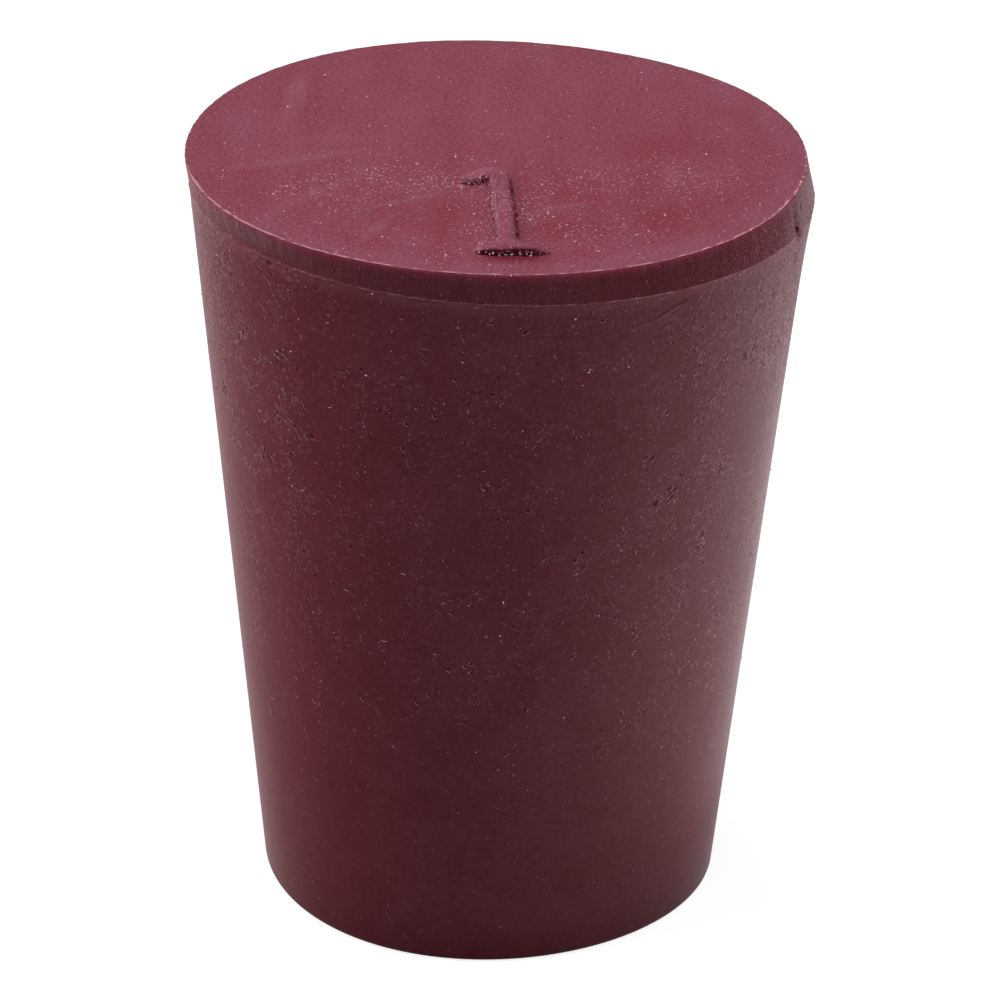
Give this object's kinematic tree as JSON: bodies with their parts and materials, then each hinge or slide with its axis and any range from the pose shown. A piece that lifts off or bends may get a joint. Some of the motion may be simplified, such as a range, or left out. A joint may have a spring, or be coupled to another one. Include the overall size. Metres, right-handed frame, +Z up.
{
  "type": "rubber stopper",
  "caption": "Solid tapered rubber plug with a flat wide end, a short cut band under its rim and a small rounding at the narrow end, for closing a tube or flask neck.",
  "frame": {"origin": "centre of the narrow end face, which the stopper stands on", "axes": "+Z up along the stopper's axis, from the narrow end to the wide end; the form is round, so +X and +Y are free, and the raised size numeral of the dressed model reads upright seen from -Y"},
  "size_m": [0.0164, 0.0164, 0.021],
  "materials": {
    "rubber": "matt moulded skin, dark red-brown, with a slightly paler bloom on the wide face"
  },
  "bodies": {
    "root": {"stopper": "rubber"}
  },
  "joints": []
}
